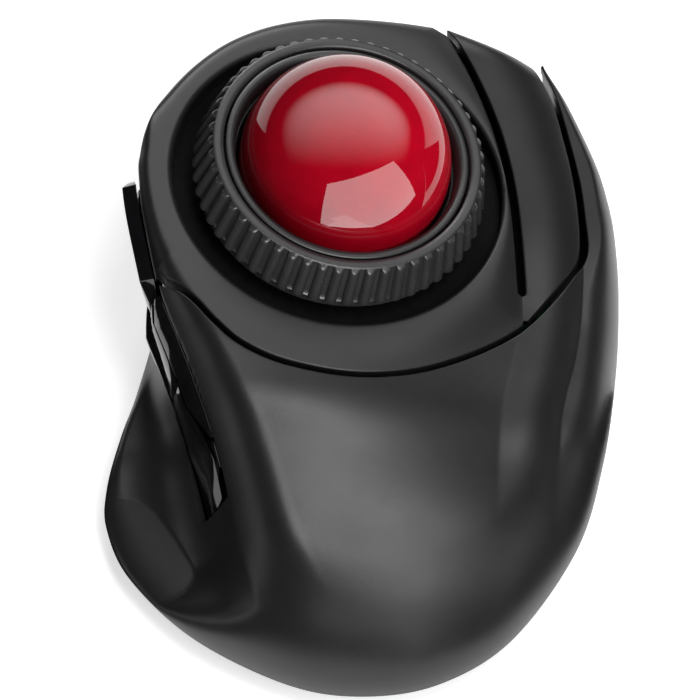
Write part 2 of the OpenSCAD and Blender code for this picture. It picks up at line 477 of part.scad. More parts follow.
// ---- electronics ---------------------------------------------------------
module main_board() color([0.05, 0.3, 0.15]) placed() difference() {
  translate([0, 0, board_z]) linear_extrude(height = 1.6)
    polygon([[-28, 2.6], [-18, 2.6], [32, 2.6], [36, 6], [36, 44], [24, 51],
      [2, 51], [-20, 49], [-28, 42]]);
  for (p = concat(deck_posts, palm_posts)) translate([p[0], p[1], 0])
    cylinder(r = 4, h = 20, $fn = 32);
  for (p = board_posts) translate([p[0], p[1], 0]) cylinder(r = 1.1, h = 20, $fn = 24);
}
module board_chips() color([0.08, 0.08, 0.09]) placed() {
  translate([4, 8, board_z + 1.6]) cube([7, 7, 1]);
  translate([14, 26, board_z + 1.6]) cube([5, 5, 0.9]);
  translate([-2, 5, board_z + 1.6]) cube([5, 4, 1.2]);
  translate([20, 12, board_z + 1.6]) cylinder(r = 2.5, h = 5, $fn = 32);
  translate([22, 20, board_z + 1.6]) cube([9, 3, 1]);
}
module ball_sensor() color([0.06, 0.06, 0.07]) placed() translate([-6.8, 30, board_z + 1.6]) {
  translate([-6, -5, 0]) cube([12, 10, 4.4]);
  cylinder(r = 3.2, h = 6, $fn = 48);
}
module side_board() color([0.05, 0.3, 0.15]) placed() translate([-30.5, 22, 12.6])
  rotate([0, 0, -75.4]) cube([40, 1.2, 13]);
module thumb_switches() color([0.1, 0.1, 0.11]) placed() translate([-30.5, 22, 12.6])
  rotate([0, 0, -75.4]) for (q = [[1.5, 4], [11, 7], [17.5, 1], [24, 7], [32.5, 1]])
    translate([q[0], -3.4, q[1]]) {
      cube([5.8, 3.4, 5.2]);
      translate([2.9, 0.2, 2.6]) rotate([90, 0, 0]) cylinder(r = 1, h = 1, $fn = 24);
    }
module right_switch() color([0.1, 0.1, 0.11]) placed() translate([31, 44, board_z + 1.6]) {
  translate([-2.9, -6.4, 0]) cube([5.8, 9, 6.2]);
  cylinder(r = 1.1, h = 6.8, $fn = 24);
}
module power_switch_body() color([0.5, 0.5, 0.52]) placed()
  translate([10.5, 15.5, 4.6]) cube([9, 5.4, board_z - 4.6]);
module power_knob() color([0.55, 0.55, 0.57]) placed() {
  translate([9.4, 16.3, foot_h - 0.4]) cube([7, 3.8, 1.6]);
  translate([12, 17.2, foot_h + 1]) cube([2, 2, 2.1]);
}
module status_led() color([0.8, 0.85, 0.8]) placed()
  translate([4, 18.2, foot_h]) cylinder(r = 1.1, h = board_z - foot_h, $fn = 24);

// ---- drawing -------------------------------------------------------------
base_plate();
palm_shell();
front_deck();
right_click_key();
thumb_panel();
thumb_key_front();
thumb_key_upper();
thumb_key_lower_front();
thumb_key_lower_rear();
thumb_key_small();
trackball();
scroll_ring();
ring_bezel();
ball_cup();
bearing_balls();
ball_sensor();
ring_code_band();
ring_pickup();
main_board();
board_chips();
side_board();
right_switch();
thumb_switches();
battery();
battery_door();
battery_contacts();
power_knob();
power_switch_body();
usb_receiver();
rubber_feet();
case_screws();
board_screws();
cup_screws();
status_led();
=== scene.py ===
import math

import bmesh
import bpy
import numpy as np
from mathutils import Matrix, Vector


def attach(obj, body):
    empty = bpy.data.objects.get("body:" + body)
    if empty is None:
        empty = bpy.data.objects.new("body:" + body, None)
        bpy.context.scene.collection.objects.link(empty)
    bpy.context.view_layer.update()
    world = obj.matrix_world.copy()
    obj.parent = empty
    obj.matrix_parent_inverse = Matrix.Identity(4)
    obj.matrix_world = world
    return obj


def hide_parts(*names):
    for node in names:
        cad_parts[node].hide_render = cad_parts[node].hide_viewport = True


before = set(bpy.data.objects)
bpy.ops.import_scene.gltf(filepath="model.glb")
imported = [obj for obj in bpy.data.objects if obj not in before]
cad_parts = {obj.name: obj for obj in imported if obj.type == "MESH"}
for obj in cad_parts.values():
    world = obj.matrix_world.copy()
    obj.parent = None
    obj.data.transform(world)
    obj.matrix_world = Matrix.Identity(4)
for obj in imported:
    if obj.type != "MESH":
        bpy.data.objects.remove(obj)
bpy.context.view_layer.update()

# ---------------------------------------------------------------- basic sizes, mm
SHIFT = np.array([-0.6, -2.8, 0.0])
LEAN_R, LEAN_F = math.radians(11), math.radians(2)
RING_C = np.array([-2.5, 30.8, 43.0])
N_RING = np.array([math.sin(LEAN_R) * math.cos(LEAN_F), math.sin(LEAN_F),
                   math.cos(LEAN_R) * math.cos(LEAN_F)])
MOAT_C = RING_C - 10 * N_RING
MOAT_R, WALL, SEAM, RIM_Z, DECK_Z = 31.4, 2.0, 1.0, 6.0, 33.2
ROLL_SLOPE, PALM_SLOPE = 0.5, 0.29
SLOPE_X, SLOPE_Y = -N_RING[0] / N_RING[2], -N_RING[1] / N_RING[2]
BALL_R = 20
BALL_C = RING_C - 3 * N_RING
RIBS = 54
HALF_SLIT = 0.75
# the steepest skin that the wall thickness follows
STEEPEST = 2.5
# radius of the shell's rounded edges, and where the rows of points over them lie
EDGE = 0.35
EDGE_ROWS = np.array([0, 0.03, 0.08, 0.15, 0.24, 0.35, 0.6])

# ---------------------------------------------------------------- curves along y
# each point is (y, value): an x for the lines in plan, a width or a power for the others
SLIT1 = [[-35, 25], [-23, 25.5], [-12, 26.7], [-3.5, 28.5], [5, 30.3], [10.3, 30.2], [20, 29.7],
         [30, 28.9], [38, 27.7], [47, 25.6], [57.5, 21.9], [66, 17.9], [70.5, 14.9]]
SLIT2 = [[-30, 36], [-16, 37], [-10, 38], [-1, 40.2], [8, 41.5], [20, 42.1], [28, 41.9],
         [38, 41], [46, 39.5], [54, 37.5], [63, 34.2]]
LEFT = [[-52, -19], [-42, -22.5], [-31, -24.8], [-22, -27.2], [-11, -31], [-3, -34.2],
        [4, -37], [12, -39], [22, -41], [30, -41.9], [34, -41.7]]
ROLL_W = [[-55, 14], [-37, 11], [-20, 9.5], [-9, 8.5], [1, 6.5], [9, 4], [16, 2.6], [34, 2.4]]
OUTER_LEFT = [[-52, -31.2], [-46, -38], [-40, -43.2], [-35, -46], [-29.5, -47.8], [-21.5, -48],
              [-16, -47], [-11, -45.7], [-3, -43.2], [3, -41.8], [8.5, -40.8], [30, -43.5]]
WALL_POW = [[-58, 2.4], [-46, 2.8], [-38, 3.4], [-12, 3.8], [0, 3], [30, 3]]

# ---------------------------------------------------------------- paths in plan
# each point is (x, y), except in ROLL_R: (place along the palm paths, radius of the edge)
PALM_IN = [[-36.8, 5.2], [-33.6, 3.2], [-30.6, 0.4], [-27.4, -3.2], [-23, -7], [-16.5, -10],
           [-9, -11.5], [-2, -11.8], [5, -10.8], [12, -8.6], [20, -4.6], [27, 0], [32, 4.4],
           [36.5, 9.7], [40, 15.1], [42.9, 21], [42.6, 29], [41.5, 38.5], [38, 54.5],
           [34.9, 62.8]]
PALM_OUT = [[-40.4, 8.5], [-43.2, -2.8], [-45.7, -11], [-48, -21.5], [-47.8, -29.5],
            [-43.2, -40], [-31.2, -52.2], [-14, -61.5], [0, -64], [14.4, -61.5], [28, -52.4],
            [40.3, -34], [45.8, -15.5], [48.6, 3], [49.5, 18], [49.2, 28], [48.3, 35.5],
            [46, 44], [41.2, 55.5], [36, 63.5]]
ROLL_R = [[0, 3], [3, 4], [5, 8], [6, 14], [7, 19], [10, 19], [11, 16], [12, 11], [13, 8],
          [14, 6.6], [16, 5.6], [17, 4.2], [18, 2.8], [19, 1]]
FRONT_EDGE = [[14, 69.5], [8, 69.6], [0, 69.2], [-8, 68.2], [-15, 66.2], [-21, 63.4],
              [-26.5, 59.6], [-31.5, 54.6], [-35.7, 49], [-39, 43], [-41, 37], [-41.8, 32]]
# the key's left edge follows SLIT1, so only its y values are listed
KEY_LEFT = [4.8, 7, 10.8, 16.5, 26.5, 36.5, 47.5, 58.5, 69]
KEY_RIGHT = [[31.2, 4.9], [34.2, 8.6], [37.7, 13.5], [41.2, 19.9], [41.4, 29], [40.4, 38],
             [38.9, 46], [36.8, 55], [33.5, 62.4]]


# ---------------------------------------------------------------- curve helpers
def smooth(a):
    t = np.clip(a, 0, 1)
    return t * t * (3 - 2 * t)


def curve(p, x):
    """Smooth curve through a few points listed by rising first value."""
    p = np.asarray(p, float)
    n = len(p)
    x = np.clip(x, p[0, 0], p[-1, 0])
    i = np.clip(np.searchsorted(p[:, 0], x, side="right") - 1, 0, n - 2)
    a, b = np.maximum(np.arange(n) - 1, 0), np.minimum(np.arange(n) + 1, n - 1)
    m = (p[b, 1] - p[a, 1]) / (p[b, 0] - p[a, 0])
    h = p[i + 1, 0] - p[i, 0]
    t = (x - p[i, 0]) / h
    t2, t3 = t * t, t * t * t
    return ((2 * t3 - 3 * t2 + 1) * p[i, 1] + (t3 - 2 * t2 + t) * h * m[i]
            + (3 * t2 - 2 * t3) * p[i + 1, 1] + (t3 - t2) * h * m[i + 1])


def path(p, t):
    """Smooth path through points, t runs from 0 to len - 1."""
    p = np.asarray(p, float)
    n = len(p)
    t = np.asarray(t, float)
    i = np.clip(np.floor(t).astype(int), 0, n - 2)
    u = (t - i)[..., None]
    a, b, c, d = p[np.maximum(i - 1, 0)], p[i], p[i + 1], p[np.minimum(i + 2, n - 1)]
    return 0.5 * (2 * b + u * (c - a) + u * u * (2 * a - 5 * b + 4 * c - d)
                  + u ** 3 * (3 * b - a - 3 * c + d))


# ---------------------------------------------------------------- height of the skin
def plane(x, y):
    return DECK_Z + SLOPE_X * (x - MOAT_C[0]) + SLOPE_Y * (y - MOAT_C[1])


def roll(x, y):
    """Fall of the deck outside the recess rim, strongest towards the right."""
    dx, dy = x - MOAT_C[0], y - MOAT_C[1]
    r = np.maximum(np.hypot(dx, dy), 1)
    d = np.maximum(r - MOAT_R - 0.6, 0)
    share = smooth((dx / r + 0.2) / 0.95) * (1 - 0.6 * smooth((y - 35) / 20))
    return ROLL_SLOPE * share * (10 * (1 - np.exp(-d / 10)) - 1.5 * (1 - np.exp(-d / 1.5)))


def crown(x, y):
    """Sideways crown of the palm, fading out at the seam."""
    u = x - 10
    return 0.0055 * u * u / (1 + np.maximum(-u, 0) / 30) * smooth((-4 - y) / 22)


def body_z(x, y):
    a, b = curve(SLIT1, y), curve(SLIT2, y)
    f = smooth((y + 40) / 26)
    left = plane(x, y) - f * roll(x, y) - crown(x, y)
    v = np.clip((x - a) / (b - a), 0, 1)
    key = plane(a, y) - 4.2 * (0.15 * v + 0.85 * v ** 3) - 0.08 * np.maximum(x - b, 0)
    far = plane(x, y) - 0.008 * (x - a) ** 2 - crown(x, y) + crown(a, y)
    right = f * key + (1 - f) * far - f * roll(a, y) - crown(a, y)
    return np.where(x <= a, left, right)


def rear(y):
    """Fall of the palm behind its crest."""
    d = np.maximum(-14 - y, 0)
    return PALM_SLOPE * (d - 8 * (1 - np.exp(-d / 8))) - 0.5 * np.exp(-((y + 18) / 6) ** 2)


def skin_z(x, y):
    x, y = np.asarray(x, float), np.asarray(y, float)
    e, w = curve(LEFT, y), curve(ROLL_W, y)
    k = e + w
    f = smooth((y + 58) / 20)
    zk = body_z(k, y)
    v = np.clip((k - x) / w, 0, 1)
    ze = zk - 0.62 * w
    wr = np.maximum(e - curve(OUTER_LEFT, y), 0.5)
    r = np.clip((e - x) / wr, 0, 1)
    rolled = zk - 0.62 * w * v ** 2.2 + SLOPE_X * (x - k) * (1 - v)
    fallen = ze - (ze - 9.5) * (1 - (1 - r) ** curve(WALL_POW, y))
    left = np.where(k - x <= w, rolled, fallen)
    flat = body_z(x, y)
    z = np.where(x >= k, flat, f * left + (1 - f) * (flat - 0.012 * (k - x) ** 2))
    return z - rear(y)


def steep(x, y):
    g = np.hypot(skin_z(x + 0.5, y) - skin_z(x - 0.5, y), skin_z(x, y + 0.5) - skin_z(x, y - 0.5))
    return np.minimum(STEEPEST, g)


def rounded(dist):
    """Drop of a rounded edge at a distance from it."""
    u = np.clip(dist, 0, EDGE)
    return EDGE - np.sqrt(np.maximum(EDGE * EDGE - (EDGE - u) ** 2, 0))


# ---------------------------------------------------------------- mesh helpers
def build(name, verts, faces, sharp=32):
    """A mesh from points in mm of the design frame."""
    me = bpy.data.meshes.new(name)
    v = (np.asarray(verts, float) + SHIFT) * 0.001
    me.from_pydata(v.tolist(), [], [list(map(int, f)) for f in faces])
    me.validate()
    ob = bpy.data.objects.new(name, me)
    bpy.context.scene.collection.objects.link(ob)
    soften(ob, sharp)
    return ob


def soften(ob, angle):
    me = ob.data
    me.polygons.foreach_set("use_smooth", [True] * len(me.polygons))
    me.set_sharp_from_angle(angle=math.radians(angle))
    me.update()


def grid_faces(n, m, wrap=False, flip=False, start=0):
    """Faces of n rows of m points each; wrap joins the last row to the first."""
    k = np.arange(n if wrap else n - 1)[:, None]
    i = np.arange(m - 1)[None, :]
    a, b = k * m + i, ((k + 1) % n) * m + i
    q = np.stack([a, a + 1, b + 1, b], -1).reshape(-1, 4) + start
    return q[:, ::-1] if flip else q


def wall_faces(a, b, offset, turn):
    """Faces between neighbouring points a and b and the same points one sheet further on."""
    return np.stack([a, b, b + offset, a + offset], -1)[:, ::turn]


def face_outward(ob):
    bm = bmesh.new()
    bm.from_mesh(ob.data)
    bmesh.ops.recalc_face_normals(bm, faces=bm.faces)
    bm.to_mesh(ob.data)
    bm.free()


def apply_all(ob):
    dg = bpy.context.evaluated_depsgraph_get()
    me = bpy.data.meshes.new_from_object(ob.evaluated_get(dg))
    old = ob.data
    ob.modifiers.clear()
    ob.data = me
    bpy.data.meshes.remove(old)


def bevel(ob, width):
    m = ob.modifiers.new("bevel", "BEVEL")
    m.width, m.segments, m.limit_method = width * 0.001, 2, "ANGLE"
    m.angle_limit = math.radians(30)
    m.harden_normals = False
    apply_all(ob)
    soften(ob, 32)


def on_ring(p):
    """Points given in the ring's own frame."""
    rot = Matrix.Rotation(-LEAN_F, 3, "X") @ Matrix.Rotation(LEAN_R, 3, "Y")
    return np.asarray(p, float) @ np.array(rot).T + RING_C


def lathe(name, profile, steps):
    """A profile of (radius, height) turned about the ring's axis."""
    a = np.linspace(0, 2 * math.pi, steps, endpoint=False)
    pr = np.asarray(profile, float)
    v = np.stack([np.outer(np.cos(a), pr[:, 0]), np.outer(np.sin(a), pr[:, 0]),
                  np.repeat(pr[None, :, 1], steps, 0)], -1)
    return build(name, on_ring(v.reshape(-1, 3)), grid_faces(steps, len(pr), True))


# ---------------------------------------------------------------- lofts on the left edge
def key_outline(y, pts):
    """Points given as (stand-out from the left edge, drop below it) at each y."""
    y = np.asarray(y, float)[:, None]
    pts = np.asarray(pts, float)
    e = curve(LEFT, y)
    z = skin_z(e, y)
    return np.stack([e - pts[..., 0], np.broadcast_to(y, (len(y), pts.shape[-2])),
                     z - pts[..., 1]], -1)


def loft(name, rows, width=0.0):
    """A closed solid through rows of points, with its edges rounded to width."""
    n, m = rows.shape[:2]
    faces = []
    for k in range(n - 1):
        for i in range(m):
            a, b = k * m + i, k * m + (i + 1) % m
            faces.append([a, a + m, b + m, b])
    faces.append(list(range(m)))
    faces.append([(n - 1) * m + i for i in range(m - 1, -1, -1)])
    ob = build(name, rows.reshape(-1, 3), faces)
    face_outward(ob)
    if width:
        bevel(ob, width)
    return ob


# ---------------------------------------------------------------- palm shell
def palm_cover():
    ts = np.linspace(0, 19, 460)
    ss = 1 - np.linspace(1, 0, 84)

    def sheet(d):
        """Points from the rim up to the joint, at depth d below the outer skin."""
        a, b0 = path(PALM_IN, ts), path(PALM_OUT, ts)
        l0 = np.linalg.norm(b0 - a, axis=1)
        dd = np.minimum(d, 0.35 * l0)
        b = b0 + (a - b0) * (dd / l0)[:, None]
        ln = l0 - dd
        q0 = 1 - EDGE_ROWS[None, :] * np.minimum(1, ln / 3)[:, None] / ln[:, None]
        q1 = q0[:, -1:] * (1 - ss[None, 1:]) ** 1.8
        q = np.concatenate([q0, q1], 1)
        p = b[:, None] + (a - b)[:, None] * q[..., None]
        e = ln[:, None] * q
        away = ln[:, None] * (1 - q)
        r = curve(ROLL_R, ts)[:, None]
        u = 1 - np.minimum(e / r, 1)
        g = np.maximum(1 - u ** 2.3, 0) ** (1 / 2.3)
        z = skin_z(p[..., 0], p[..., 1])
        if d:
            z = z - d * np.sqrt(1 + steep(p[..., 0], p[..., 1]) ** 2)
        else:
            z = z - rounded(away)
        h = RIM_Z + np.maximum(z - RIM_Z, 0.4 if d else 2.4) * g
        return np.concatenate([p, h[..., None]], -1)

    out, inn = sheet(0), sheet(WALL)
    n, m = out.shape[:2]
    o = n * m
    f = [grid_faces(n, m), grid_faces(n, m, flip=True, start=o)]
    k = np.arange(n - 1)
    for i, turn in ((0, 1), (m - 1, -1)):
        f.append(wall_faces(k * m + i, (k + 1) * m + i, o, turn))
    i = np.arange(m - 1)
    for k, turn in ((0, -1), (n - 1, 1)):
        f.append(wall_faces(k * m + i, k * m + i + 1, o, turn))
    ob = build("palm_cover", np.concatenate([out.reshape(-1, 3), inn.reshape(-1, 3)]),
               np.concatenate(f))
    face_outward(ob)
    ys = np.arange(10, -32.51, -0.5)
    room = loft("room", key_outline(ys, [[-2.3, 1.3], [0.2, 0.2], [3, -1], [9, -1],
                                         [9, KF + 5], [KO + 1.6, KF + 7.8], [KO + 1.4, KF + 9.8],
                                         [-2.3, KF + 9.8]]))
    cut = ob.modifiers.new("cut", "BOOLEAN")
    cut.operation, cut.solver, cut.object = "DIFFERENCE", "MANIFOLD", room
    apply_all(ob)
    bpy.data.objects.remove(room)
    soften(ob, 40)
    return ob


# ---------------------------------------------------------------- front deck
def slit_half(y):
    """Half the slit's width, with its round end between y = 9.85 and 11."""
    y = np.asarray(y, float)
    end = HALF_SLIT * np.sqrt(np.clip(1 - ((11 - y) / 1.15) ** 2, 0, 1))
    return np.where(y > 11, HALF_SLIT, np.where(y < 9.85, 0, end))


def resample(pts, step):
    """The same line with points about one step apart."""
    pts = np.asarray(pts, float)
    d = np.r_[0, np.cumsum(np.linalg.norm(np.diff(pts, axis=0), axis=1))]
    n = max(2, int(round(d[-1] / step)) + 1)
    s = np.linspace(0, d[-1], n)
    return np.stack([np.interp(s, d, pts[:, j]) for j in range(pts.shape[1])], -1)


def deck_outline():
    """Outline points, their kind (1 on the free front and left edges) and the joined stretch."""
    t = np.linspace(0, 11.72, 900)
    p, q = path(PALM_IN, t), path(PALM_IN, t + 0.02)
    d = np.stack([p[:, 1] - q[:, 1], q[:, 0] - p[:, 0]], -1)
    rear = p + SEAM * d / np.linalg.norm(d, axis=1, keepdims=True)
    join = rear[:, 0] < curve(SLIT1, rear[:, 1])
    rear = rear[join]
    y0 = rear[-1, 1]
    ys = np.r_[np.linspace(y0, 9.8, 30)[1:], np.linspace(9.85, 11, 26), np.linspace(11.1, 67.5, 400)]
    right = np.stack([curve(SLIT1, ys) - slit_half(ys), ys], -1)
    front = path(FRONT_EDGE, np.linspace(0, 11, 700))
    yl = np.linspace(31.9, 8.6, 200)
    left = np.stack([curve(LEFT, yl), yl], -1)
    parts = [resample(rear, 0.5), resample(right[:30], 0.3), resample(right[29:56], 0.08),
             resample(right[55:], 0.5), resample(front, 0.5), resample(left, 0.4),
             resample(np.stack([left[-1], rear[0]]), 0.3)]
    kinds = [0, 0, 0, 0, 1, 1, 0]
    pts, kind, cut = [], [], []
    for part, (line, what) in enumerate(zip(parts, kinds)):
        pts.append(line[:-1])
        kind += [what] * (len(line) - 1)
        cut += [part == 1] * (len(line) - 1)
    return np.concatenate(pts), np.array(kind), np.array(cut)


def front_cover():
    p, kind, joined = deck_outline()
    ang = np.arctan2(p[:, 1] - MOAT_C[1], p[:, 0] - MOAT_C[0])
    radial = np.stack([np.cos(ang), np.sin(ang)], -1)
    rim = MOAT_C[:2] + MOAT_R * radial
    far = np.linalg.norm(p - rim, axis=1)
    away = (p - rim) / far[:, None]
    rows = []
    low = [(-0.5, -5.2), (-0.35, -3.4), (-0.25, -1.8)]
    fillet = [(0.7 - 0.9 * math.cos(f), -0.8 + 0.8 * math.sin(f))
              for f in np.radians([0, 12, 26, 42, 58, 74, 90])]
    for e, z in low + fillet:
        q = rim + away * e if e > 0 else rim + radial * e
        rows.append(np.c_[q, surface(q, max(e, 0) / far, kind, p) + z])
    start = fillet[-1][0]
    near = EDGE_ROWS[::-1]
    free = np.where(joined, 0, 1)
    spans = 14
    for j in range(1, spans + 1):
        e = start + (far - near[0] - start) * j / spans
        q = rim + away * e[:, None]
        rows.append(np.c_[q, surface(q, e / far, kind, p)])
    for g in near[1:]:
        q = rim + away * (far - g)[:, None]
        rows.append(np.c_[q, surface(q, (far - g) / far, kind, p) - rounded(g) * free])
    lip = np.where(kind == 0, WALL + 0.6, 4 + 5 * smooth((p[:, 0] + 36) / 26))
    edge = rows[-1]
    for f in (0.5, 1):
        rows.append(edge - np.c_[np.zeros((len(p), 2)), lip * f])
    v = np.stack(rows, 1)
    n, m = v.shape[:2]
    return build("front_cover", v.reshape(-1, 3), grid_faces(n, m, True), 40)


def recess_shade_floor():
    """Painted shade: near-black bottom of the gap around the ring, standing in for its shadow."""
    return lathe("recess_shade_floor", [[24.4, -15.2], [32, -15.2], [32, -13.6], [24.4, -13.6]], 96)


def seam_shade_strip():
    """Painted shade: near-black strip behind the joint of the palm shell and the base's left wall,
    standing in for the shadow in the gap.
    """
    x, y = np.array([-38.6, -38.2]), np.array([6.4, 9.3])
    plan = [[x[0], y[0]], [x[1], y[0]], [x[1], y[1]], [x[0], y[1]]]
    verts = [[px, py, z] for z in (7.0, 16.2) for px, py in plan]
    return build("seam_shade_strip", verts, [[3, 2, 1, 0], [4, 5, 6, 7], [0, 1, 5, 4], [1, 2, 6, 5],
                                       [2, 3, 7, 6], [3, 0, 4, 7]], 30)


def slit_shade_floor():
    """Painted shade: near-black strip under the slit, clear of the key's stroke, standing in for the
    shadow inside.
    """
    ys = np.linspace(8, 67, 60)
    x = curve(SLIT1, ys)
    rows = [np.stack([x + o, ys, skin_z(x, ys) - d], -1)
            for o, d in ((-2.2, 2.0), (-1.6, 5.6), (2.6, 6.2), (2.6, 6.8), (-2.4, 6.4))]
    v = np.stack(rows, 1)
    return build("slit_shade_floor", v.reshape(-1, 3), grid_faces(len(ys), 5), 30)


def surface(q, s, kind, p):
    """Height of the deck between the recess rim (s=0) and its outline (s=1)."""
    z0, z1 = plane(q[:, 0], q[:, 1]), skin_z(q[:, 0], q[:, 1])
    fall = np.where(kind == 1, 1.5 * smooth((p[:, 0] + 42) / 6), 0) * np.clip(s, 0, 1) ** 6
    return z0 + (z1 - z0) * smooth(s) - fall


# ---------------------------------------------------------------- right key
def key_cover():
    ts = np.linspace(0, 8, 340)
    y = path([[v, 0] for v in KEY_LEFT], ts)[:, 0]
    half = slit_half(y)
    a = np.stack([curve(SLIT1, y) + half, y], -1)
    b = path(KEY_RIGHT, ts)
    w = np.linalg.norm(b - a, axis=1)
    k = np.minimum(1, w / 3)[:, None]
    mid = np.linspace(0, 1, 44)[1:-1]
    lo, hi = EDGE_ROWS[None] * k, w[:, None] - EDGE_ROWS[None, ::-1] * k
    e = np.concatenate([lo, lo[:, -1:] + (hi[:, :1] - lo[:, -1:]) * mid[None], hi], 1)
    q = a[:, None] + (b - a)[:, None] * (e / w[:, None])[..., None]
    z = skin_z(q[..., 0], q[..., 1])
    free = (half > 0.1)[:, None]
    z = z - rounded(e / k) * free * k - rounded((w[:, None] - e) / k) * k
    front = np.maximum(ts - 7.4, 0)[:, None] / 0.6
    z = z - 1.2 * front ** 2
    v = np.concatenate([q, z[..., None]], -1)
    n0 = len(v)
    last = v[-1]
    drop = [last + [0, 0.12, -0.12], last + [0, 0.15, -0.4], last + [0.2, 0, -3.5],
            last + [0.3, -0.2, -7]]
    v = np.concatenate([v, np.stack(drop)], 0)
    n, m = v.shape[:2]
    under = v[:n0].copy()
    under[..., 2] -= 2.0
    pts = np.concatenate([v.reshape(-1, 3), under.reshape(-1, 3)])
    o = n * m
    f = [grid_faces(n, m, flip=True), grid_faces(n0, m, start=o)]
    row = np.arange(n0 - 1)
    for i, turn in ((0, -1), (m - 1, 1)):
        f.append(wall_faces(row * m + i, (row + 1) * m + i, o, turn))
    return build("right_key_cover", pts, np.concatenate(f), 40)


# ---------------------------------------------------------------- thumb keys
# stand-out and drop of the upper key's facet; every outline is (stand-out, drop) from the edge
KO, KF = 2.6, 5.6
UPPER = [[0.15, 0.8], [KO, KF], [KO - 1, KF + 0.9], [-0.9, 2]]
LOWER = [[KO + 0.15, KF + 0.5], [KO + 1.2, KF + 7.2], [KO - 0.2, KF + 7.4], [KO - 1, KF + 1.7]]
LOWER5 = [LOWER[0], [KO + 0.5, KF + 2.7]] + LOWER[1:]
FRONT = [[0.6, 1], [3.3, 2.2], [2.3, 11], [1.7, 11], [1.7, 4.2], [0.6, 2.6]]
PANEL = [[-2.25, 1.5], [-1.7, 3.4], [KO - 2.4, KF + 2.6], [KO - 1.8, KF + 8],
         [KO + 1.25, KF + 8.2], [KO + 1.25, KF + 9.6], [-2.1, KF + 9.6]]
# stations from front to rear: (y, outline)
KEYS = {
    "thumb_panel": [
        (29.4, [[-2.2, 6.6], [0.2, 6.8], [0.6, 8], [1.3, 12.6], [1.8, 13], [1.8, 15], [-2.2, 15]]),
        (11, [[-1.3, 6.6], [0.2, 6.8], [0.6, 8], [1.3, 12.8], [1.8, 13.2], [1.8, 15.2],
              [-1.3, 15.2]]),
        (9, [[-1.2, 6.2], [-0.6, 6.8], [0.3, 8], [1, 12.8], [2, 13.4], [2, 15],
             [-1.2, 15]]),
        (3, PANEL), (-26.4, PANEL),
        (-31.5, [[-2.25, 1.5], [-1.4, 3], [-0.3, 8], [0.8, 13.6], [3.6, 13.9], [3.6, 15.2],
                 [-2, 15.2]]),
        (-32.45, [[-2.25, 1.5], [0, 3], [0.6, 8], [1.6, 13], [3.8, 13.4], [3.8, 15.2],
                  [-2, 15.2]])],
    "thumb_key_front": [
        (29, [[0.8, 3], [2.2, 3.8], [1.9, 9], [1.5, 9], [1.4, 5.2], [0.8, 4.2]]),
        (27, FRONT), (7.6, FRONT),
        (5.5, [[0.6, 3.6], [2.2, 5.8], [2, 10.6], [1.5, 10.6], [1.5, 7], [0.6, 4.8]])],
    "thumb_key_upper": [
        (4.7, [[0.3, 1.2], [1.4, 3], [0.8, 3.8], [-0.8, 2.4]]), (1.4, UPPER), (-14, UPPER),
        (-17.6, [[0.15, 0.6], [KO - 0.8, KF - 1.6], [KO - 1.7, KF - 0.7], [-1, 2]]),
        (-21.6, [[0.15, 0.6], [0.6, 1.4], [0, 2.1], [-0.9, 1.8]])],
    "thumb_key_lower_front": [
        (4.6, [[1.9, 4.2], [2.6, KF + 6.4], [1.8, KF + 6.6], [1.1, 5]]),
        (2, [[KO + 0.1, KF + 0.4], [KO + 0.3, KF + 7], [KO - 0.8, KF + 7.2], [KO - 1, KF + 1.6]]),
        (-9.2, LOWER)],
    "thumb_key_lower_rear": [
        (-9.9, LOWER5), (-13.7, LOWER5),
        (-16.9, [[KO - 0.4, KF - 0.9], [3, 8], [KO + 1.5, KF + 7.2], [KO, KF + 7.4],
                 [KO - 1.7, KF]]),
        (-20.4, [[1.7, 3.5], [2.5, 6.2], [KO + 1.6, KF + 6.8], [KO + 0.2, KF + 7.2], [0.4, 4.6]]),
        (-24, [[1.15, 2.5], [1.3, 3.1], [KO + 1.2, KF + 5.8], [KO, KF + 6.4], [0, 3.4]]),
        (-24.8, [[0.9, 2.9], [1.6, 3.9], [KO + 1.1, KF + 5.8], [KO - 0.1, KF + 6.4], [0, 3.9]]),
        (-30.8, [[0.6, 8], [2.8, 9.2], [KO + 0.6, KF + 6.4], [KO - 0.4, KF + 6.9], [0.8, 9.4]]),
        (-31.6, [[1, 9.4], [2.2, 10], [KO, KF + 7], [KO - 0.8, KF + 7.3], [1.1, 10.4]])],
    "thumb_key_small": [
        (-22.2, [[0.15, 0.8], [0.9, 2], [0.2, 2.8], [-0.8, 2]]),
        (-26.8, [[0.1, 0.9], [0.5, 1.4], [0.1, 2], [-0.5, 1.8]])],
}
BODIES = {"thumb_panel": "housing", "thumb_key_front": "key_front",
          "thumb_key_upper": "key_upper", "thumb_key_lower_front": "key_lower_front",
          "thumb_key_lower_rear": "key_lower_rear", "thumb_key_small": "key_small"}


def key_piece(node, width):
    """The key's loft, with a row of points at most every 2 mm."""
    rows = []
    st = KEYS[node]
    for (y0, s0), (y1, s1) in zip(st[:-1], st[1:]):
        c = max(1, math.ceil((y0 - y1) / 2))
        for j in range(c):
            f = j / c
            rows.append(key_outline([y0 + (y1 - y0) * f],
                                    np.array(s0) * (1 - f) + np.array(s1) * f)[0])
    rows.append(key_outline([st[-1][0]], st[-1][1])[0])
    return loft(node + "_cover", np.stack(rows), width)


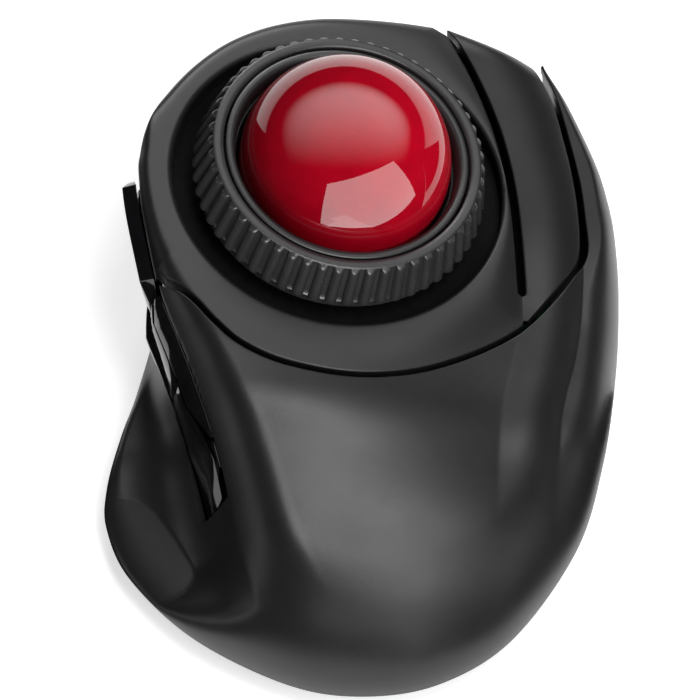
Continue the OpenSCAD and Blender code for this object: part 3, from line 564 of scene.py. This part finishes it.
# ---------------------------------------------------------------- ball, ring, bezel
def ring_cover():
    per_rib = 22
    n = RIBS * per_rib
    a = np.linspace(0, 2 * math.pi, n, endpoint=False)
    u = (a * RIBS / (2 * math.pi) + 0.5) % 1 - 0.5
    bump = np.sqrt(np.clip(1 - (np.abs(u) / 0.35) ** 2, 0, 1)) ** 0.9
    # radius, height, and how far the ribs stand out there
    prof = [(23.5, -9.6, 0), (23.5, -0.45, 0), (23.62, -0.15, 0), (23.85, 0, 0), (24.6, 0, 0),
            (25.15, 0, 0), (25.4, -0.03, 0), (25.58, -0.12, 0.05)]
    for w in (0.2, 0.32, 0.48, 0.7, 0.95, 1.25, 1.6, 2.2, 3, 4, 5, 6, 7, 8, 8.8):
        cap = math.sqrt(max(0, 1 - max(0, 1 - (w - 0.1) / 0.95) ** 2))
        r = 25.62 + (27.3 - 25.62) * (w - 0.2) / 8.6
        prof.append((r - 0.4, -w, cap * (1.05 + 0.2 * w / 9)))
    prof += [(27.2, -9.2, 0.85), (26.9, -9.7, 0.2), (24, -9.9, 0)]
    pr = np.array(prof)
    r = pr[None, :, 0] + pr[None, :, 2] * bump[:, None]
    v = np.stack([r * np.cos(a)[:, None], r * np.sin(a)[:, None],
                  np.broadcast_to(pr[None, :, 1], r.shape)], -1)
    return build("scroll_ring_cover", on_ring(v.reshape(-1, 3)), grid_faces(n, len(pr), True),
                 50)


def bezel_cover():
    return lathe("ring_bezel_cover", [[20.9, -4], [20.95, -2.4], [21.3, -1.1], [21.55, -0.6],
                 [21.85, -0.36], [22.2, -0.26], [22.9, -0.26], [23.08, -0.33], [23.15, -0.5],
                 [23.15, -4]], 320)


def ball_cover():
    bpy.ops.mesh.primitive_uv_sphere_add(segments=192, ring_count=96,
                                         radius=BALL_R * 0.001)
    ob = bpy.context.object
    ob.name = "trackball_cover"
    ob.data.name = "trackball_cover"
    c = (BALL_C + SHIFT) * 0.001
    ob.data.transform(Matrix.Translation(Vector(c)))
    soften(ob, 180)
    return ob


# ---------------------------------------------------------------- materials
def material(name, color, rough, grain=0, depth=0.0, vary=0.08, spec=0.5, metal=0.0, coat=0.0,
             coat_rough=0.05, mottle=0.12):
    """A moulded or machined surface: fine grain, uneven gloss and soft tonal variation."""
    m = bpy.data.materials.new(name)
    m.use_nodes = True
    nt = m.node_tree
    nt.nodes.clear()
    out = nt.nodes.new("ShaderNodeOutputMaterial")
    b = nt.nodes.new("ShaderNodeBsdfPrincipled")
    nt.links.new(b.outputs[0], out.inputs[0])
    co = nt.nodes.new("ShaderNodeTexCoord")

    def noise(scale, detail, fineness):
        n = nt.nodes.new("ShaderNodeTexNoise")
        n.inputs["Scale"].default_value = scale
        n.inputs["Detail"].default_value = detail
        n.inputs["Roughness"].default_value = fineness
        nt.links.new(co.outputs["Object"], n.inputs["Vector"])
        return n

    def spread(source, lo, hi):
        r = nt.nodes.new("ShaderNodeMapRange")
        r.inputs["From Min"].default_value, r.inputs["From Max"].default_value = 0.3, 0.7
        r.inputs["To Min"].default_value, r.inputs["To Max"].default_value = lo, hi
        nt.links.new(source, r.inputs["Value"])
        return r.outputs["Result"]

    b.inputs["Metallic"].default_value = metal
    b.inputs["Specular IOR Level"].default_value = spec
    b.inputs["Coat Weight"].default_value = coat
    b.inputs["Coat Roughness"].default_value = coat_rough
    big = noise(70, 5, 0.6)
    nt.links.new(spread(big.outputs["Fac"], rough - vary, rough + vary), b.inputs["Roughness"])
    mix = nt.nodes.new("ShaderNodeMix")
    mix.data_type = "RGBA"
    dark = [c * (1 - mottle) for c in color[:3]] + [1]
    lite = [min(1, c * (1 + mottle)) for c in color[:3]] + [1]
    mix.inputs["A"].default_value, mix.inputs["B"].default_value = dark, lite
    tone = noise(240, 4, 0.65)
    nt.links.new(spread(tone.outputs["Fac"], 0, 1), mix.inputs["Factor"])
    nt.links.new(mix.outputs["Result"], b.inputs["Base Color"])
    if grain:
        g = noise(grain, 2, 0.6)
        bump = nt.nodes.new("ShaderNodeBump")
        bump.inputs["Strength"].default_value = 1.0
        bump.inputs["Distance"].default_value = depth
        nt.links.new(g.outputs["Fac"], bump.inputs["Height"])
        nt.links.new(bump.outputs["Normal"], b.inputs["Normal"])
    return m


def dress(ob, mat, body=None, nodes=()):
    ob.data.materials.clear()
    ob.data.materials.append(mat)
    if body:
        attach(ob, body)
    if nodes:
        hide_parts(*nodes)


SHELL = material("satin_shell", (0.012, 0.012, 0.0125), 0.37, 5200, 0.00002, 0.03)
DECK = material("satin_deck", (0.012, 0.012, 0.0125), 0.36, 5200, 0.000015, 0.02)
RING = material("ring_satin", (0.018, 0.018, 0.019), 0.3, 3000, 0.00002, 0.04)
GLOSS = material("polished_black", (0.004, 0.004, 0.0045), 0.07, 0, 0, 0.03, mottle=0.3)
CASE = material("matt_case", (0.012, 0.012, 0.013), 0.55, 2200, 0.00008, 0.06)
BALL = material("deep_red_ball", (0.3, 0.001, 0.009), 0.12, 0, 0, 0.03, spec=0.0, coat=1.0,
                coat_rough=0.02, mottle=0.1)
# near-black for painted shade: the recess, seam and slit fillers stand dark in place of their
# shadow; the flags use it too, for dark reflections
SHADE_BLACK = material("shade_black", (0.003, 0.003, 0.003), 0.8, 2000, 0.00004, spec=0.1)
PLAIN = {
    "ceramic": material("bearing_ceramic", (0.75, 0.75, 0.7), 0.15, 0, 0, 0.04, mottle=0.03),
    "component_black": material("component_body", (0.012, 0.012, 0.013), 0.5, 2400, 0.00004),
    "code_band": material("magnet_band", (0.16, 0.16, 0.17), 0.45, 3000, 0.00003, metal=0.6),
    "circuit_board": material("solder_mask", (0.01, 0.11, 0.04), 0.35, 900, 0.00003, coat=0.4),
    "battery_can": material("cell_sleeve", (0.5, 0.33, 0.07), 0.3, 1200, 0.00001, metal=0.4),
    "spring_steel": material("plated_spring", (0.62, 0.62, 0.6), 0.25, 2500, 0.00001, metal=1),
    "knob_plastic": material("knob", (0.09, 0.09, 0.095), 0.5, 2600, 0.00005),
    "steel_can": material("pressed_can", (0.5, 0.5, 0.5), 0.35, 2000, 0.00001, metal=1),
    "receiver_shell": material("receiver", (0.02, 0.02, 0.022), 0.45, 2600, 0.00004),
    "foot_rubber": material("foot", (0.014, 0.014, 0.014), 0.75, 1600, 0.0001, mottle=0.3),
    "screw_steel": material("zinc_screw", (0.5, 0.5, 0.48), 0.32, 1800, 0.00002, metal=1),
    "light_pipe": material("clear_pipe", (0.7, 0.75, 0.7), 0.2, 0, 0, 0.03),
    "case_plastic": CASE, "shell_plastic": SHELL, "gloss_black": GLOSS, "ring_plastic": RING,
    "ball_resin": BALL,
}

# ---------------------------------------------------------------- pieces
dress(palm_cover(), SHELL, "housing", ["palm_shell"])
dress(front_cover(), DECK, "housing", ["front_deck"])
# the recess, seam and slit fillers below are painted shade in near-black
dress(recess_shade_floor(), SHADE_BLACK, "housing", ["front_deck"])
dress(seam_shade_strip(), SHADE_BLACK, "housing", ["palm_shell"])
dress(slit_shade_floor(), SHADE_BLACK, "housing", ["front_deck"])
dress(key_cover(), DECK, "right_key", ["right_click_key"])
dress(ring_cover(), RING, "ring", ["scroll_ring"])
dress(bezel_cover(), RING, "housing", ["ring_bezel"])
dress(ball_cover(), BALL, "ball", ["trackball"])
for node_name, body_name in BODIES.items():
    dress(key_piece(node_name, 0.16), GLOSS, body_name, [node_name])

SLOT_OF = {
    "base_plate": "case_plastic", "ball_cup": "case_plastic", "bearing_balls": "ceramic",
    "ball_sensor": "component_black", "ring_code_band": "code_band",
    "ring_pickup": "component_black", "main_board": "circuit_board",
    "board_chips": "component_black", "side_board": "circuit_board",
    "right_switch": "component_black", "thumb_switches": "component_black",
    "battery": "battery_can", "battery_door": "case_plastic",
    "battery_contacts": "spring_steel", "power_knob": "knob_plastic",
    "power_switch_body": "steel_can", "usb_receiver": "receiver_shell",
    "rubber_feet": "foot_rubber", "case_screws": "screw_steel", "board_screws": "screw_steel",
    "cup_screws": "screw_steel", "status_led": "light_pipe",
}
for node_name, slot_name in SLOT_OF.items():
    dress(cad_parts[node_name], PLAIN[slot_name])

# ---------------------------------------------------------------- floor, light, camera
def pale_floor():
    m = bpy.data.materials.new("pale_floor")
    m.use_nodes = True
    b = m.node_tree.nodes["Principled BSDF"]
    b.inputs["Base Color"].default_value = (0.86, 0.86, 0.86, 1)
    b.inputs["Roughness"].default_value = 0.7
    b.inputs["Emission Color"].default_value = (1, 1, 1, 1)
    b.inputs["Emission Strength"].default_value = 0.6
    return m


bpy.ops.mesh.primitive_plane_add(size=4, location=(0, 0, 0))
floor = bpy.context.object
floor.name = "floor"
floor.data.materials.append(pale_floor())

world = bpy.data.worlds.new("studio")
bpy.context.scene.world = world
world.use_nodes = True
world.node_tree.nodes["Background"].inputs[0].default_value = (0.9, 0.95, 1, 1)
world.node_tree.nodes["Background"].inputs[1].default_value = 0.02


def receivers(name, state, pieces=("trackball_cover",)):
    """Which pieces a lamp shines on: only the ones named, or everything but them."""
    group = bpy.data.collections.new(name)
    for piece in pieces:
        group.objects.link(bpy.data.objects[piece])
    for entry in group.collection_objects:
        entry.light_linking.link_state = state
    return group


BALL_ONLY, NOT_BALL = receivers("ball_only", "INCLUDE"), receivers("all_but_ball", "EXCLUDE")
KEYS_ONLY = receivers("keys_only", "INCLUDE", [node + "_cover" for node in KEYS])
RING_ONLY = receivers("ring_only", "INCLUDE", ["scroll_ring_cover"])
TOP_ONLY = receivers("top_only", "INCLUDE",
                     ["front_cover", "scroll_ring_cover", "ring_bezel_cover"])


def lamp(name, at, aim, size, radiance, linked, size_y=None):
    """A softbox given by its brightness, so that its size sets only how wide it looks."""
    li = bpy.data.lights.new(name, "AREA")
    li.size = size
    if size_y:
        li.shape, li.size_y = "RECTANGLE", size_y
        area = size * size_y
    else:
        li.shape = "DISK"
        area = math.pi * size * size / 4
    li.energy = math.pi * area * radiance
    ob = bpy.data.objects.new(name, li)
    bpy.context.scene.collection.objects.link(ob)
    ob.location = at
    ob.rotation_euler = (Vector(aim) - Vector(at)).to_track_quat("-Z", "Y").to_euler()
    ob.light_linking.receiver_collection = linked
    return ob


LAMP_FAR = 1.5


def softbox(name, rise, bearing, half, radiance, linked):
    """A round lamp LAMP_FAR from the middle of the mouse, as wide as twice the half angle."""
    el, az = math.radians(rise), math.radians(bearing)
    way = Vector((math.cos(el) * math.sin(az), math.cos(el) * math.cos(az), math.sin(el)))
    lamp(name, way * LAMP_FAR, (0, 0, 0), 2 * LAMP_FAR * math.tan(math.radians(half)), radiance,
         linked)


# degrees above the horizon, bearing from the front towards the right, half width, brightness
STUDIO = {
    "key": (76, 90, 12, 8.8), "key_rear": (56, 135, 12, 5.7), "front": (34, 0, 12, 7.0),
    "front_right": (56, 45, 12, 0.9), "low_rear": (34, 150, 14, 1.8),
    "low_right": (34, 115, 12, 1.2), "back": (34, 185, 14, 1.1), "left": (12, 257, 12, 1.3),
    "low_back": (12, 154, 12, 1.2), "low_side": (12, 103, 12, 1.2),
}
for name, place in STUDIO.items():
    softbox(name, *place, NOT_BALL)

# the same numbers for the thumb keys alone, the ring alone, and the deck with the ring
LINKED = {
    "keys_rear": (9, 216, 26, 2.4, KEYS_ONLY), "ribs_rear": (27, 190, 15, 6.5, RING_ONLY),
    "ribs_low": (12, 180, 18, 6.0, RING_ONLY), "deck_top": (48, 24, 12, 1.9, TOP_ONLY),
}
for name, place in LINKED.items():
    softbox(name, *place)


def fade(light, across, along):
    """Soft edges for an area light: (lower, full, full, upper) as shares of each side."""
    light.data.use_nodes = True
    nt = light.data.node_tree
    geo = nt.nodes.new("ShaderNodeNewGeometry")
    xyz = nt.nodes.new("ShaderNodeSeparateXYZ")
    nt.links.new(geo.outputs["Parametric"], xyz.inputs[0])
    last = None
    for side, (a, b, c, d) in ((0, across), (1, along)):
        for dark, full in ((a, b), (d, c)):
            ramp = nt.nodes.new("ShaderNodeMapRange")
            ramp.interpolation_type = "SMOOTHSTEP"
            flip = dark > full
            ramp.inputs["From Min"].default_value = full if flip else dark
            ramp.inputs["From Max"].default_value = dark if flip else full
            ramp.inputs["To Min"].default_value = 1.0 if flip else 0.0
            ramp.inputs["To Max"].default_value = 0.0 if flip else 1.0
            nt.links.new(xyz.outputs[side], ramp.inputs["Value"])
            if last is None:
                last = ramp.outputs["Result"]
                continue
            both = nt.nodes.new("ShaderNodeMath")
            both.operation = "MULTIPLY"
            nt.links.new(last, both.inputs[0])
            nt.links.new(ramp.outputs["Result"], both.inputs[1])
            last = both.outputs[0]
    emit = next(n for n in nt.nodes if n.type == "EMISSION")
    nt.links.new(last, emit.inputs["Strength"])


# the ball's own lamps: two panels that it mirrors and two that only colour it
ball_at = Vector((BALL_C + SHIFT) * 0.001)
roof = lamp("ball_roof", ball_at + Vector((0.15, 0.3, 0.5)), ball_at + Vector((0.15, 0.3, 0)), 3.0,
            4.0, BALL_ONLY, 1.5)
fade(roof, (0.0, 0.5, 0.55, 1.0), (0.0, 0.55, 0.6, 1.0))
card_bearing = math.radians(157)
outward = Vector((math.sin(card_bearing), math.cos(card_bearing), 0))
card_centre = ball_at + Vector((0, 0, 0.03))
card = lamp("ball_card", ball_at + outward * 0.13 + Vector((0, 0, 0.03)), card_centre, 0.25, 5.0,
            BALL_ONLY, 0.17)
side = lamp("ball_side", ball_at + Vector((0.34, -0.2, 0.5)), ball_at, 0.35, 17.0, BALL_ONLY)
top = lamp("ball_top", ball_at + Vector((0.05, 0.1, 0.6)), ball_at, 0.35, 4.0, BALL_ONLY)
for ob in (roof, card):
    ob.visible_camera, ob.visible_diffuse = False, False
for ob in (side, top):
    ob.visible_camera, ob.visible_glossy = False, False


def flag(name, corners):
    """A dark sheet on the table that only reflections see."""
    me = bpy.data.meshes.new(name)
    me.from_pydata([(x, y, 0.0005) for x, y in corners], [], [(0, 1, 2, 3)])
    ob = bpy.data.objects.new(name, me)
    bpy.context.scene.collection.objects.link(ob)
    me.materials.append(SHADE_BLACK)
    ob.visible_camera = ob.visible_diffuse = ob.visible_shadow = False


# corners (x, y) in metres
flag("flag_left", [(-2, -2), (-0.085, -2), (-0.085, 0.1), (-2, 0.85)])
flag("flag_near_left", [(-0.085, -0.3), (-0.048, -0.3), (-0.048, -0.002), (-0.085, -0.002)])
flag("flag_right", [(0.05, -2), (2, -2), (2, 0), (0.05, 0)])
flag("flag_far_right", [(0.105, 0.001), (2, 0.001), (2, 0.4), (0.105, 0.08)])

# degrees below the horizon, place in metres, focal length in mm
CAMERA_DIP, CAMERA_AT, CAMERA_LENS = 61, (-0.00273, -0.44075, 0.81235), 247.6
cam = bpy.data.cameras.new("camera")
cam_ob = bpy.data.objects.new("camera", cam)
bpy.context.scene.collection.objects.link(cam_ob)
bpy.context.scene.camera = cam_ob
dip = math.radians(CAMERA_DIP)
look = Vector((0, math.cos(dip), -math.sin(dip)))
up = Vector((0, math.sin(dip), math.cos(dip)))
pose = Matrix((Vector((1, 0, 0)), up, -look)).transposed().to_4x4()
pose.translation = Vector(CAMERA_AT)
cam_ob.matrix_world = pose
cam.sensor_width = 36
cam.lens = CAMERA_LENS
cam.clip_start, cam.clip_end = 0.05, 10
bpy.context.scene.view_settings.view_transform = "Standard"
